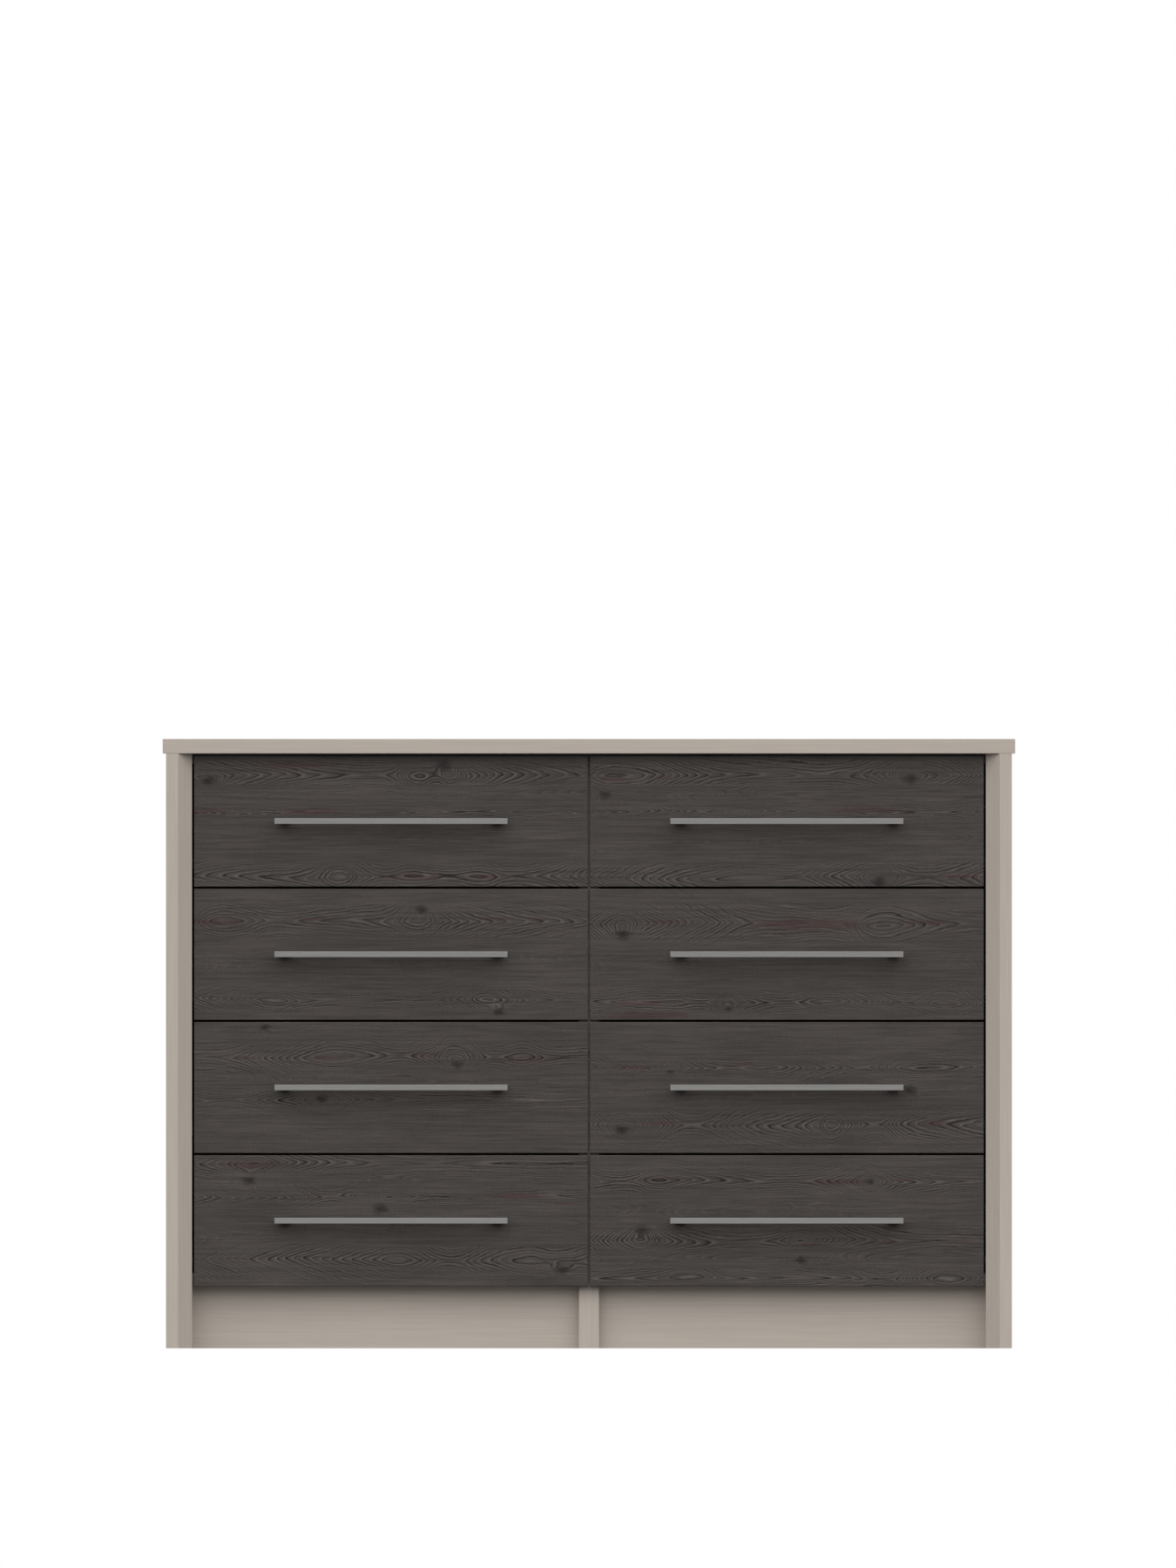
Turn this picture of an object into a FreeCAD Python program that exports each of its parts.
"""Eight-drawer dresser: two banks of four drawers side by side, under one top and between two end panels.

Each bank is a case of its own: two sides that run to the floor, a bottom, two top rails, a hardboard back
held in grooves and a plinth set back under the drawers. Thicker end panels close the ends, and a bevelled
post leads the eye from each end panel's front edge back to the drawer fronts. Every drawer is a slab front
with a bar handle, a three-sided box, a hardboard base and a pair of roller runners.

Frame: millimetres, +Z up, the floor at Z = 0, drawers open towards -Y, X = 0 between the two banks, and
Y = 0 half way from the face of the handles to the back. Sizes called a depth run back along +Y.
"""
import FreeCAD
import Part
import math
import os

# Overall sizes
TOP_WIDTH = 1280.0
TOTAL_HEIGHT = 915.0

# Boards
TOP_THICKNESS = 22.0
END_THICKNESS = 18.0
CASE_BOARD = 15.0
FRONT_THICKNESS = 18.0
HARDBOARD = 3.0
TOP_OVERHANG = 5.0
EDGING_RADIUS = 1.0

# Bevelled posts beside the drawer fronts
BEVEL_WIDTH = 21.0
BEVEL_DEPTH = 21.0

# Drawer fronts
BANK_SIGNS = {"left": -1, "right": 1}
LEVELS = 4
FRONT_GAP = 3.0
FRONT_STANDOFF = 1.5
LOWEST_FRONT = 93.0

# Case
BOTTOM_COVERED = 20.0
PLINTH_SETBACK = 20.0
RAIL_DEPTH = 70.0
BACK_INSET = 12.0
GROOVE_DEPTH = 6.0
GROOVE_CLEARANCE = 0.2
BACK_SIDE_PLAY = 0.5

# Drawer boxes
BOX_BOARD = 12.0
BOX_PAST_RUNNER = 15.5
BOX_RISE = 30.0
BOX_TOP_CLEARANCE = 22.0
BASE_RISE = 8.0

# Handles: a bar on two feet, each foot held by a screw through the drawer front
HANDLE_LENGTH = 350.0
HANDLE_CENTRES = 320.0
HANDLE_HEIGHT = 9.0
HANDLE_PROJECTION = 32.0
BAR_DEPTH = 10.0
FOOT_WIDTH = 18.0
FOOT_HEIGHT = 8.0
HANDLE_EDGE = 0.6
HANDLE_SCREW_RADIUS = 2.0
HANDLE_SCREW_BITE = 9.0
HANDLE_SCREW_HEAD_RADIUS = 4.0
HANDLE_SCREW_HEAD = 2.4
SCREW_CLEARANCE = 0.1

# Roller runners
RUNNER_LENGTH = 350.0
RUNNER_SPACE = 12.5
RUNNER_SETBACK = 3.0
RUNNER_REAR_SPACE = 41.5
RUNNER_STEEL = 1.2
RUNNER_REACH = 10.5
RUNNER_WEB_CLEARANCE = 0.8
ROLLER_RADIUS = 8.0
ROLLER_PLAY = 0.3
ROLLER_WIDTH = 7.0
ROLLER_INSET = 12.0
ROLLER_SIDE_PLAY = 0.8
ROLLER_EDGE = 0.8
AXLE_RADIUS = 2.4
AXLE_CLEARANCE = 0.1
FLANGE_CLEARANCE = 0.8

# Fixings of the case
BOLT_RADIUS = 3.5
BOLT_HEAD_RADIUS = 7.5
BOLT_HEAD = 1.4
WOOD_SCREW_RADIUS = 2.0
WOOD_SCREW_HEAD_RADIUS = 4.0
WOOD_SCREW_HEAD = 1.6
WOOD_SCREW_BITE = 12.0
FIXING_INSET = 40.0
FIXING_ABOVE_RUNNER = 70.0
TOP_SCREW_INSET = 90.0

# Widths that follow
BODY_WIDTH = TOP_WIDTH - 2 * TOP_OVERHANG
HALF_WIDTH = BODY_WIDTH / 2
END_INNER = HALF_WIDTH - END_THICKNESS
POST_INNER = END_INNER - BEVEL_WIDTH
# The outer side is as thick as the post is wide, so that a drawer's runner passes the post.
OUTER_SIDE = BEVEL_WIDTH
SIDE_INNER = END_INNER - OUTER_SIDE
FRONT_INNER_EDGE = FRONT_GAP / 2
FRONT_OUTER_EDGE = POST_INNER - FRONT_GAP
FRONT_CENTRE = (FRONT_INNER_EDGE + FRONT_OUTER_EDGE) / 2

# Heights that follow
TOP_UNDERSIDE = TOTAL_HEIGHT - TOP_THICKNESS
FRONT_PITCH = (TOP_UNDERSIDE - LOWEST_FRONT) / LEVELS
FRONT_HEIGHT = FRONT_PITCH - FRONT_GAP
BOTTOM_TOP = LOWEST_FRONT + BOTTOM_COVERED
BOTTOM_UNDERSIDE = BOTTOM_TOP - CASE_BOARD
BOX_HEIGHT = FRONT_HEIGHT - BOX_RISE - BOX_TOP_CLEARANCE

# Depths that follow from the runner, from the posts' face back to the rear edges
RUNNER_START_DEPTH = BEVEL_DEPTH + FRONT_THICKNESS + FRONT_STANDOFF + RUNNER_SETBACK
BACK_PANEL_DEPTH = RUNNER_START_DEPTH + RUNNER_LENGTH + RUNNER_REAR_SPACE
BODY_DEPTH = BACK_PANEL_DEPTH + HARDBOARD + BACK_INSET
BOX_LENGTH = FRONT_STANDOFF + RUNNER_SETBACK + RUNNER_LENGTH + BOX_PAST_RUNNER

# Places along the depth, with handles that may stand out in front of the posts
HANDLE_PROUD = max(0.0, HANDLE_PROJECTION - BEVEL_DEPTH)
POST_FACE_Y = (HANDLE_PROUD - BODY_DEPTH) / 2
BACK_Y = POST_FACE_Y + BODY_DEPTH
FRONT_FACE_Y = POST_FACE_Y + BEVEL_DEPTH
FRONT_REAR_Y = FRONT_FACE_Y + FRONT_THICKNESS
CASE_FACE_Y = FRONT_REAR_Y + FRONT_STANDOFF
BACK_PANEL_Y = BACK_Y - BACK_INSET - HARDBOARD
PLINTH_FACE_Y = CASE_FACE_Y + PLINTH_SETBACK
BOX_REAR_Y = FRONT_REAR_Y + BOX_LENGTH
RUNNER_FRONT_Y = CASE_FACE_Y + RUNNER_SETBACK
RUNNER_REAR_Y = RUNNER_FRONT_Y + RUNNER_LENGTH

# Runner section, measured up from the face that the drawer's rear roller rolls on
CHANNEL_HEIGHT = 2 * ROLLER_RADIUS + 2 * ROLLER_PLAY
DRAWER_FLANGE = CHANNEL_HEIGHT + RUNNER_STEEL + FLANGE_CLEARANCE
FRONT_ROLLER_AXIS = DRAWER_FLANGE - ROLLER_PLAY - ROLLER_RADIUS
REAR_ROLLER_AXIS = ROLLER_PLAY + ROLLER_RADIUS
WEB_FACE = RUNNER_REACH + RUNNER_WEB_CLEARANCE
ROLLER_START = RUNNER_STEEL + ROLLER_SIDE_PLAY

# Holes that follow
SCREW_HOLE_RADIUS = WOOD_SCREW_RADIUS + SCREW_CLEARANCE
BOLT_HOLE_RADIUS = BOLT_RADIUS + SCREW_CLEARANCE
HANDLE_HOLE_RADIUS = HANDLE_SCREW_RADIUS + SCREW_CLEARANCE

OUT = "parts"
SAME_PLACE = 1e-4


def block(x0, x1, y0, y1, z0, z1):
    """A square-edged board between two corners, given in any order."""
    low = FreeCAD.Vector(min(x0, x1), min(y0, y1), min(z0, z1))
    return Part.makeBox(abs(x1 - x0), abs(y1 - y0), abs(z1 - z0), low)


def rod(x, y, z, direction, radius, length):
    """A round bar from a point, along a direction."""
    return Part.makeCylinder(radius, length, FreeCAD.Vector(x, y, z), FreeCAD.Vector(*direction))


def edges_where(solid, test):
    """The edges whose middle passes a test."""
    found = []
    for edge in solid.Edges:
        middle = edge.valueAt((edge.FirstParameter + edge.LastParameter) / 2)
        if test(middle):
            found.append(edge)
    return found


def rounded(solid, radius, test):
    """The solid with the edges that pass a test rounded."""
    return solid.makeFillet(radius, edges_where(solid, test))


def near(a, b):
    """True for two measures that are the same but for rounding."""
    return math.isclose(a, b, abs_tol=SAME_PLACE)


def save(node, solids):
    """Writes one node. Separate solids in a node stay separate."""
    shape = solids[0] if len(solids) == 1 else Part.makeCompound(solids)
    shape.exportStep(os.path.join(OUT, node + ".step"))
    print(node, len(solids), round(sum(s.Volume for s in solids) / 1000), "cm3")


def lowest_edge(level):
    """Height of a drawer front's lower edge. Level 1 is the top drawer."""
    return LOWEST_FRONT + (LEVELS - level) * FRONT_PITCH


def runner_base(level):
    """Height of the face that a drawer's rear roller rolls on: the box side sits one steel above it."""
    return lowest_edge(level) + BOX_RISE - RUNNER_STEEL


def mirrored(solid, sign):
    """Parts are drawn in the right-hand bank, and the left-hand ones are their mirror images."""
    if sign > 0:
        return solid
    return solid.mirror(FreeCAD.Vector(0, 0, 0), FreeCAD.Vector(1, 0, 0))


# ---------------------------------------------------------------- case

def top_panel():
    half = TOP_WIDTH / 2
    board = block(-half, half, POST_FACE_Y, BACK_Y, TOP_UNDERSIDE, TOTAL_HEIGHT)
    for place in top_screw_places():
        board = board.cut(top_screw(place, SCREW_HOLE_RADIUS))
    return rounded(board, EDGING_RADIUS, lambda m: not inside_a_screw_hole(m))


def inside_a_screw_hole(middle):
    """True for the edges of the blind screw holes in the top's underside."""
    reach = 2 * WOOD_SCREW_RADIUS
    return any(abs(middle.x - x) < reach and abs(middle.y - y) < reach for x, y, _ in top_screw_places())


def end_panel():
    board = block(END_INNER, HALF_WIDTH, POST_FACE_Y, BACK_Y, 0, TOP_UNDERSIDE)
    for place in end_screw_places():
        board = board.cut(end_screw(place, SCREW_HOLE_RADIUS))
    return rounded(board, EDGING_RADIUS, lambda m: near(m.x, HALF_WIDTH) and near(m.z, TOP_UNDERSIDE / 2))


def bevel_post():
    """Starts flush with the end panel's front edge and falls back at an angle to the drawer fronts' face."""
    corners = (
        (END_INNER, POST_FACE_Y),
        (END_INNER, CASE_FACE_Y),
        (POST_INNER, CASE_FACE_Y),
        (POST_INNER, FRONT_FACE_Y),
    )
    points = [FreeCAD.Vector(x, y, 0) for x, y in corners]
    face = Part.Face(Part.makePolygon(points + points[:1]))
    return face.extrude(FreeCAD.Vector(0, 0, TOP_UNDERSIDE))


def case_side(inner_face, outer_face):
    """A side from floor to top, grooved for the back. inner_face is the one that the drawers run beside."""
    towards = 1 if outer_face > inner_face else -1
    board = block(inner_face, outer_face, CASE_FACE_Y, BACK_Y, 0, TOP_UNDERSIDE)
    groove = block(
        inner_face,
        inner_face + towards * GROOVE_DEPTH,
        BACK_PANEL_Y - GROOVE_CLEARANCE,
        BACK_PANEL_Y + HARDBOARD + GROOVE_CLEARANCE,
        BOTTOM_UNDERSIDE,
        TOP_UNDERSIDE,
    )
    return board.cut(groove)


def outer_side():
    board = case_side(SIDE_INNER, END_INNER)
    for place in end_screw_places():
        board = board.cut(end_screw(place, SCREW_HOLE_RADIUS))
    return board


def centre_side():
    board = case_side(CASE_BOARD, 0)
    for y, z in bolt_places():
        board = board.cut(rod(0, y, z, (1, 0, 0), BOLT_HOLE_RADIUS, CASE_BOARD))
    return board


def bottom():
    rear = BACK_PANEL_Y - GROOVE_CLEARANCE
    return block(CASE_BOARD, SIDE_INNER, CASE_FACE_Y, rear, BOTTOM_UNDERSIDE, BOTTOM_TOP)


def plinth():
    return block(CASE_BOARD, SIDE_INNER, PLINTH_FACE_Y, PLINTH_FACE_Y + CASE_BOARD, 0, BOTTOM_UNDERSIDE)


def back():
    reach = GROOVE_DEPTH - BACK_SIDE_PLAY
    return block(
        CASE_BOARD - reach,
        SIDE_INNER + reach,
        BACK_PANEL_Y,
        BACK_PANEL_Y + HARDBOARD,
        BOTTOM_UNDERSIDE + BACK_SIDE_PLAY,
        TOP_UNDERSIDE - BACK_SIDE_PLAY,
    )


def rail_starts():
    """Front edges of a bank's two top rails."""
    return (CASE_FACE_Y, BACK_PANEL_Y - GROOVE_CLEARANCE - RAIL_DEPTH)


def top_rails():
    rails = []
    low = TOP_UNDERSIDE - CASE_BOARD
    for start in rail_starts():
        rail = block(CASE_BOARD, SIDE_INNER, start, start + RAIL_DEPTH, low, TOP_UNDERSIDE)
        for place in top_screw_places():
            rail = rail.cut(top_screw(place, SCREW_HOLE_RADIUS))
        rails.append(rail)
    return rails


# ------------------------------------------------------------- fixings

def between_runners(level):
    """A height beside a drawer that its runners leave free."""
    runner_top = runner_base(level) + DRAWER_FLANGE + RUNNER_STEEL
    return runner_top + FIXING_ABOVE_RUNNER


def bolt_places():
    """Where the two centre sides are bolted together."""
    depths = (CASE_FACE_Y + FIXING_INSET, BACK_PANEL_Y - FIXING_INSET)
    return [(y, between_runners(level)) for y in depths for level in (1, LEVELS)]


def end_screw_places():
    """Where the outer side is screwed to the end panel, from inside the case."""
    return [(SIDE_INNER, y, z) for y, z in bolt_places()]


def top_screw_places():
    """Where screws go up through the rails into the top, in both banks."""
    places = []
    for start in rail_starts():
        for x in (CASE_BOARD + TOP_SCREW_INSET, SIDE_INNER - TOP_SCREW_INSET):
            for sign in BANK_SIGNS.values():
                places.append((sign * x, start + RAIL_DEPTH / 2, TOP_UNDERSIDE - CASE_BOARD))
    return places


def top_screw(place, radius):
    """The shank of a screw through a rail into the top, or with a wider radius its hole."""
    return rod(*place, (0, 0, 1), radius, CASE_BOARD + WOOD_SCREW_BITE)


def end_screw(place, radius):
    """The shank of a screw through the outer side into the end panel, or with a wider radius its hole."""
    return rod(*place, (1, 0, 0), radius, OUTER_SIDE + WOOD_SCREW_BITE)


def headed(shank, place, away):
    head = rod(*place, away, WOOD_SCREW_HEAD_RADIUS, WOOD_SCREW_HEAD)
    return shank.fuse(head).removeSplitter()


def panel_screws():
    screws = []
    for place in top_screw_places():
        screws.append(headed(top_screw(place, WOOD_SCREW_RADIUS), place, (0, 0, -1)))
    for sign in BANK_SIGNS.values():
        for place in end_screw_places():
            screw = headed(end_screw(place, WOOD_SCREW_RADIUS), place, (-1, 0, 0))
            screws.append(mirrored(screw, sign))
    return screws


def connector_bolts():
    """Sleeve bolts with a flat head inside each bank."""
    bolts = []
    for y, z in bolt_places():
        shank = rod(-CASE_BOARD, y, z, (1, 0, 0), BOLT_RADIUS, 2 * CASE_BOARD)
        heads = [rod(sign * CASE_BOARD, y, z, (sign, 0, 0), BOLT_HEAD_RADIUS, BOLT_HEAD) for sign in (-1, 1)]
        bolts.append(shank.multiFuse(heads).removeSplitter())
    return bolts


# ------------------------------------------------------------- runners

def runner_space(wall, towards, near_wall, far_wall, y0, y1, z0, z1):
    """A block in the space between a case side and a box side, measured out from the case side's face."""
    return block(wall + towards * near_wall, wall + towards * far_wall, y0, y1, z0, z1)


def roller(wall, towards, y, z):
    start = wall + towards * ROLLER_START
    wheel = rod(start, y, z, (towards, 0, 0), ROLLER_RADIUS, ROLLER_WIDTH)
    wheel = rounded(wheel, ROLLER_EDGE, lambda m: not near(m.x, start + towards * ROLLER_WIDTH / 2))
    bore = rod(start, y, z, (towards, 0, 0), AXLE_RADIUS + AXLE_CLEARANCE, ROLLER_WIDTH)
    return wheel.cut(bore)


def front_roller_y():
    return RUNNER_FRONT_Y + ROLLER_INSET


def rear_roller_y():
    return RUNNER_REAR_Y - ROLLER_INSET - RUNNER_SETBACK


def cabinet_runner(wall, towards, level):
    """A channel on the case side. Its top flange stops short of the front roller, which stands above it."""
    base = runner_base(level)
    web_top = base + CHANNEL_HEIGHT + RUNNER_STEEL
    flange_front = front_roller_y() + ROLLER_RADIUS + 2 * ROLLER_SIDE_PLAY
    low = base - RUNNER_STEEL
    lid_low = base + CHANNEL_HEIGHT
    web = runner_space(wall, towards, 0, RUNNER_STEEL, RUNNER_FRONT_Y, RUNNER_REAR_Y, low, web_top)
    floor = runner_space(wall, towards, 0, RUNNER_REACH, RUNNER_FRONT_Y, RUNNER_REAR_Y, low, base)
    lid = runner_space(wall, towards, 0, RUNNER_REACH, flange_front, RUNNER_REAR_Y, lid_low, web_top)
    axle = rod(wall, front_roller_y(), base + FRONT_ROLLER_AXIS, (towards, 0, 0), AXLE_RADIUS, RUNNER_REACH)
    return web.multiFuse([floor, lid, axle]).removeSplitter()


def drawer_runner(wall, towards, level):
    """A folded strip under and beside the box side. Its top flange rolls on the cabinet's front roller."""
    base = runner_base(level)
    front = FRONT_REAR_Y + FRONT_STANDOFF
    rear = rear_roller_y() + ROLLER_INSET
    under_top = base + RUNNER_STEEL
    flange_low = base + DRAWER_FLANGE
    flange_top = flange_low + RUNNER_STEEL
    box_inner = RUNNER_SPACE + BOX_BOARD
    under = runner_space(wall, towards, WEB_FACE, box_inner, front, rear, base, under_top)
    web = runner_space(wall, towards, WEB_FACE, RUNNER_SPACE, front, rear, base, flange_top)
    flange = runner_space(wall, towards, ROLLER_START, RUNNER_SPACE, front, rear, flange_low, flange_top)
    start = wall + towards * RUNNER_SPACE
    reach = RUNNER_SPACE - ROLLER_START
    axle = rod(start, rear_roller_y(), base + REAR_ROLLER_AXIS, (-towards, 0, 0), AXLE_RADIUS, reach)
    return web.multiFuse([under, flange, axle]).removeSplitter()


def runner_walls():
    """The case faces that a bank's runners stand on, each with the direction towards its drawer."""
    return ((CASE_BOARD, 1), (SIDE_INNER, -1))


# ------------------------------------------------------------- drawers

def drawer_front(level):
    low = lowest_edge(level)
    board = block(FRONT_INNER_EDGE, FRONT_OUTER_EDGE, FRONT_FACE_Y, FRONT_REAR_Y, low, low + FRONT_HEIGHT)
    board = rounded(board, EDGING_RADIUS, lambda m: near(m.y, FRONT_FACE_Y))
    board = board.cut(base_board(level, GROOVE_DEPTH, GROOVE_CLEARANCE))
    for x in foot_places():
        hole = rod(x, FRONT_FACE_Y, handle_axis(level), (0, 1, 0), HANDLE_HOLE_RADIUS, FRONT_THICKNESS)
        board = board.cut(hole)
    return board


def base_board(level, into_front, clearance):
    """The hardboard base, or with a clearance the groove that takes it."""
    base_z = lowest_edge(level) + BOX_RISE + BASE_RISE
    reach = GROOVE_DEPTH - BACK_SIDE_PLAY + clearance
    return block(
        CASE_BOARD + RUNNER_SPACE + BOX_BOARD - reach,
        SIDE_INNER - RUNNER_SPACE - BOX_BOARD + reach,
        FRONT_REAR_Y - into_front,
        BOX_REAR_Y,
        base_z,
        base_z + HARDBOARD + clearance,
    )


def drawer_base(level):
    return base_board(level, GROOVE_DEPTH - BACK_SIDE_PLAY, 0.0)


def drawer_box(level):
    """Two sides and a back. The front is the drawer front itself."""
    low = lowest_edge(level) + BOX_RISE
    groove = base_board(level, 0.0, GROOVE_CLEARANCE)
    outer_faces = (CASE_BOARD + RUNNER_SPACE, SIDE_INNER - RUNNER_SPACE)
    inner_faces = (outer_faces[0] + BOX_BOARD, outer_faces[1] - BOX_BOARD)
    boards = []
    for outer, inner in zip(outer_faces, inner_faces):
        side = block(outer, inner, FRONT_REAR_Y, BOX_REAR_Y, low, low + BOX_HEIGHT)
        boards.append(rounded(side.cut(groove), EDGING_RADIUS, lambda m: is_long_top_edge(m, low)))
    back_low = low + BASE_RISE + HARDBOARD + GROOVE_CLEARANCE
    boards.append(block(*inner_faces, BOX_REAR_Y - BOX_BOARD, BOX_REAR_Y, back_low, low + BOX_HEIGHT))
    return boards


def is_long_top_edge(middle, low):
    half_way = (FRONT_REAR_Y + BOX_REAR_Y) / 2
    return near(middle.z, low + BOX_HEIGHT) and near(middle.y, half_way)


def drawer_runners(level):
    """The drawer's own pair of runners, each with the roller at its rear end."""
    pieces = []
    for wall, towards in runner_walls():
        pieces.append(drawer_runner(wall, towards, level))
        pieces.append(roller(wall, towards, rear_roller_y(), runner_base(level) + REAR_ROLLER_AXIS))
    return pieces


# ------------------------------------------------------------- handles

def handle_axis(level):
    """Handles sit half way up their drawer front."""
    return lowest_edge(level) + FRONT_HEIGHT / 2


def foot_places():
    return (FRONT_CENTRE - HANDLE_CENTRES / 2, FRONT_CENTRE + HANDLE_CENTRES / 2)


def handle_bar(level):
    face = FRONT_FACE_Y - HANDLE_PROJECTION
    half = HANDLE_LENGTH / 2
    z = handle_axis(level)
    bar = block(
        FRONT_CENTRE - half,
        FRONT_CENTRE + half,
        face,
        face + BAR_DEPTH,
        z - HANDLE_HEIGHT / 2,
        z + HANDLE_HEIGHT / 2,
    )
    return rounded(bar, HANDLE_EDGE, lambda m: True)


def handle_foot(x, level):
    z = handle_axis(level)
    bar_back = FRONT_FACE_Y - HANDLE_PROJECTION + BAR_DEPTH
    foot = block(
        x - FOOT_WIDTH / 2,
        x + FOOT_WIDTH / 2,
        bar_back,
        FRONT_FACE_Y,
        z - FOOT_HEIGHT / 2,
        z + FOOT_HEIGHT / 2,
    )
    foot = rounded(foot, HANDLE_EDGE, lambda m: not near(m.y, bar_back) and not near(m.y, FRONT_FACE_Y))
    thread = rod(x, FRONT_FACE_Y, z, (0, -1, 0), HANDLE_HOLE_RADIUS, HANDLE_SCREW_BITE)
    return foot.cut(thread)


def handle_screw(x, level):
    z = handle_axis(level)
    length = FRONT_THICKNESS + HANDLE_SCREW_BITE
    shank = rod(x, FRONT_REAR_Y, z, (0, -1, 0), HANDLE_SCREW_RADIUS, length)
    head = rod(x, FRONT_REAR_Y, z, (0, 1, 0), HANDLE_SCREW_HEAD_RADIUS, HANDLE_SCREW_HEAD)
    return shank.fuse(head).removeSplitter()


def handle(level):
    pieces = [handle_bar(level)]
    for x in foot_places():
        pieces.append(handle_foot(x, level))
        pieces.append(handle_screw(x, level))
    return pieces


# ------------------------------------------------------------ assembly

def save_case():
    save("top_panel", [top_panel()])
    for bank, sign in BANK_SIGNS.items():
        save(f"end_panel_{bank}", [mirrored(end_panel(), sign)])
        save(f"bevel_post_{bank}", [mirrored(bevel_post(), sign)])
        save(f"{bank}_bank_outer_side", [mirrored(outer_side(), sign)])
        save(f"{bank}_bank_centre_side", [mirrored(centre_side(), sign)])
        save(f"{bank}_bank_bottom", [mirrored(bottom(), sign)])
        save(f"{bank}_bank_plinth", [mirrored(plinth(), sign)])
        save(f"{bank}_bank_back", [mirrored(back(), sign)])
    save("top_rails", [mirrored(rail, sign) for sign in BANK_SIGNS.values() for rail in top_rails()])
    save("connector_bolts", connector_bolts())
    save("panel_screws", panel_screws())


def save_cabinet_runners():
    channels = []
    wheels = []
    for sign in BANK_SIGNS.values():
        for level in range(1, LEVELS + 1):
            for wall, towards in runner_walls():
                axis_z = runner_base(level) + FRONT_ROLLER_AXIS
                channels.append(mirrored(cabinet_runner(wall, towards, level), sign))
                wheels.append(mirrored(roller(wall, towards, front_roller_y(), axis_z), sign))
    save("cabinet_runners", channels)
    save("cabinet_rollers", wheels)


def save_drawers():
    for bank, sign in BANK_SIGNS.items():
        for level in range(1, LEVELS + 1):
            place = f"{bank}_{level}"
            save(f"drawer_front_{place}", [mirrored(drawer_front(level), sign)])
            save(f"drawer_box_{place}", [mirrored(board, sign) for board in drawer_box(level)])
            save(f"drawer_base_{place}", [mirrored(drawer_base(level), sign)])
            save(f"drawer_runners_{place}", [mirrored(piece, sign) for piece in drawer_runners(level)])
            save(f"handle_{place}", [mirrored(piece, sign) for piece in handle(level)])


os.makedirs(OUT, exist_ok=True)
save_case()
save_cabinet_runners()
save_drawers()
